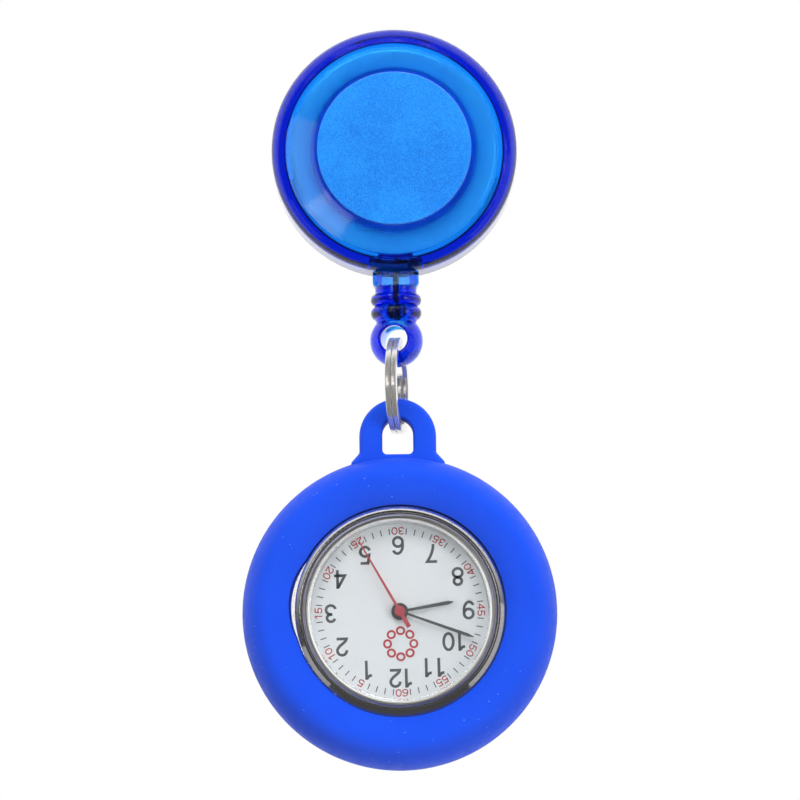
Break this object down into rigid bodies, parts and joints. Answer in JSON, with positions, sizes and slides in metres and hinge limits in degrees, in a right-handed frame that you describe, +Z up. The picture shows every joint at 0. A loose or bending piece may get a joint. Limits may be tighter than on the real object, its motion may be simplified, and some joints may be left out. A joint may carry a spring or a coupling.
{
  "type": "fob watch",
  "caption": "Fob watch that hangs upside down from a clip-on retractable reel: round quartz head in a silicone ring case, cord, bead and split ring.",
  "frame": {"origin": "on the swivel rivet's axis, at the garment side of the clip's base plate", "axes": "+Z up along the hanging line, +Y towards the garment, +X to the right seen from the front"},
  "size_m": [0.0408, 0.0197, 0.0968],
  "materials": {
    "clip_steel": "nickel-plated steel, polished",
    "spring_steel": "bare spring steel",
    "washer_nylon": "natural nylon",
    "reel_blue_back": "translucent blue, polished",
    "reel_blue_front": "translucent blue, polished, frosted disc",
    "drum_white": "moulded",
    "cord_black": "braided nylon",
    "bead_blue": "translucent blue, moulded",
    "ring_nickel": "nickel-plated flat wire",
    "silicone_blue": "soft-touch matte silicone",
    "case_chrome": "chrome-plated, polished",
    "back_steel": "brushed stainless",
    "gasket_black": "moulded",
    "gasket_white": "nylon",
    "crystal_glass": "clear, polished",
    "rehaut_grey": "satin",
    "dial_white": "matte lacquer with printed scale",
    "holder_white": "moulded",
    "stem_steel": "machined steel",
    "hand_grey": "dark grey lacquer",
    "hand_red": "dusty red lacquer",
    "gear_plastic": "moulded",
    "gear_brass": "machined",
    "magnet_grey": "sintered magnet",
    "plate_brass": "nickel-flashed brass",
    "board_green": "solder-masked laminate",
    "resin_black": "cast epoxy",
    "stator_iron": "annealed permalloy",
    "coil_copper": "enamelled copper wire"
  },
  "bodies": {
    "clip": {"clip_base": "clip_steel", "clip_pin": "clip_steel", "clip_spring": "spring_steel", "swivel_rivet": "clip_steel", "swivel_washer": "washer_nylon"},
    "lever": {"clip_lever": "clip_steel"},
    "reel": {"reel_back_cover": "reel_blue_back", "reel_front_cover": "reel_blue_front", "spiral_spring": "spring_steel"},
    "drum": {"cord_drum": "drum_white", "cord_winding": "cord_black"},
    "cord_end": {"cord_knot": "cord_black", "cord_run": "cord_black"},
    "bead": {"cord_bead": "bead_blue"},
    "ring": {"split_ring": "ring_nickel"},
    "watch": {"silicone_case": "silicone_blue", "watch_case": "case_chrome", "case_back": "back_steel", "case_back_gasket": "gasket_black", "crystal": "crystal_glass", "crystal_gasket": "gasket_white", "rehaut_ring": "rehaut_grey", "dial": "dial_white", "movement_holder": "holder_white", "crown_gasket": "gasket_black", "mainplate": "plate_brass", "train_bridge": "plate_brass", "bridge_screws": "stem_steel", "circuit_board": "board_green", "microchip": "resin_black", "quartz_resonator": "back_steel", "battery": "back_steel", "battery_strap": "stem_steel", "stator": "stator_iron", "coil_core": "stator_iron", "coil_winding": "coil_copper"},
    "setting": {"setting_lever": "stem_steel"},
    "crown": {"crown": "case_chrome", "winding_stem": "stem_steel"},
    "seconds": {"second_hand": "hand_red", "seconds_wheel": "gear_plastic"},
    "third": {"third_wheel": "gear_plastic"},
    "minutes": {"minute_hand": "hand_grey", "center_wheel": "gear_brass"},
    "motion": {"minute_wheel": "gear_brass"},
    "hours": {"hour_hand": "hand_grey", "hour_wheel": "gear_brass"},
    "intermediate": {"intermediate_wheel": "gear_plastic"},
    "rotor": {"rotor_pinion": "gear_plastic", "rotor_magnet": "magnet_grey"}
  },
  "joints": [
    {"name": "reel_swivel", "type": "hinge", "parent": "clip", "child": "reel", "pos_m": [0, 0, 0], "axis": [0, 1, 0], "continuous": true},
    {"name": "lever_press", "type": "hinge", "parent": "clip", "child": "lever", "pos_m": [0, 0.0029, 0.0045], "axis": [1, 0, 0], "range_deg": [0, 28], "stiffness_Nm_per_rad": 0.15, "springref_deg": -28.65, "deforming": ["clip_spring"]},
    {"name": "cord_pull", "type": "slide", "parent": "reel", "child": "cord_end", "axis": [0, 0, -1], "range_m": [0, 0.6], "stiffness_N_per_m": 1, "springref_m": -0.6, "deforming": ["cord_run", "spiral_spring"]},
    {"name": "drum_spin", "type": "hinge", "parent": "reel", "child": "drum", "pos_m": [0, -0.0056, 0], "axis": [0, 1, 0], "range_deg": [0, 3100]},
    {"name": "bead_twist", "type": "hinge", "parent": "cord_end", "child": "bead", "pos_m": [0, -0.0056, -0.0207], "axis": [0, 0, 1], "continuous": true},
    {"name": "ring_swing", "type": "hinge", "parent": "bead", "child": "ring", "pos_m": [0, -0.0056, -0.0247], "axis": [-0.1392, -0.9903, 0], "range_deg": [-75, 75]},
    {"name": "watch_swing", "type": "hinge", "parent": "ring", "child": "watch", "pos_m": [0, -0.0056, -0.03058], "axis": [0.9903, -0.1392, 0], "range_deg": [-50, 50]},
    {"name": "crown_pull", "type": "slide", "parent": "watch", "child": "setting", "axis": [-1, 0, 0], "range_m": [0, 0.001]},
    {"name": "crown_turn", "type": "hinge", "parent": "setting", "child": "crown", "pos_m": [-0.016, -0.0052, -0.0604], "axis": [-1, 0, 0], "continuous": true},
    {"name": "second_hand_turn", "type": "hinge", "parent": "watch", "child": "seconds", "pos_m": [0, -0.007, -0.0604], "axis": [0, 1, 0], "continuous": true},
    {"name": "third_wheel_turn", "type": "hinge", "parent": "watch", "child": "third", "pos_m": [0.00105, -0.005, -0.06328], "axis": [0, 1, 0], "continuous": true},
    {"name": "minute_hand_turn", "type": "hinge", "parent": "watch", "child": "minutes", "pos_m": [0, -0.007, -0.0604], "axis": [0, 1, 0], "continuous": true},
    {"name": "motion_wheel_turn", "type": "hinge", "parent": "watch", "child": "motion", "pos_m": [0.00226, -0.0068, -0.05958], "axis": [0, 1, 0], "continuous": true},
    {"name": "hour_hand_turn", "type": "hinge", "parent": "watch", "child": "hours", "pos_m": [0, -0.007, -0.0604], "axis": [0, 1, 0], "continuous": true},
    {"name": "intermediate_wheel_turn", "type": "hinge", "parent": "watch", "child": "intermediate", "pos_m": [0.00223, -0.005, -0.05817], "axis": [0, 1, 0], "continuous": true},
    {"name": "rotor_turn", "type": "hinge", "parent": "watch", "child": "rotor", "pos_m": [0.00223, -0.005, -0.05625], "axis": [0, 1, 0], "continuous": true}
  ],
  "couplings": [
    {"joint": "drum_spin", "follows": "cord_pull", "rad_per_m": 88.496},
    {"joint": "third_wheel_turn", "follows": "second_hand_turn", "ratio": -0.125},
    {"joint": "minute_hand_turn", "follows": "second_hand_turn", "ratio": 0.016667},
    {"joint": "motion_wheel_turn", "follows": "second_hand_turn", "ratio": -0.0055556},
    {"joint": "hour_hand_turn", "follows": "second_hand_turn", "ratio": 0.0013889},
    {"joint": "intermediate_wheel_turn", "follows": "second_hand_turn", "ratio": -6},
    {"joint": "rotor_turn", "follows": "second_hand_turn", "ratio": 30}
  ]
}
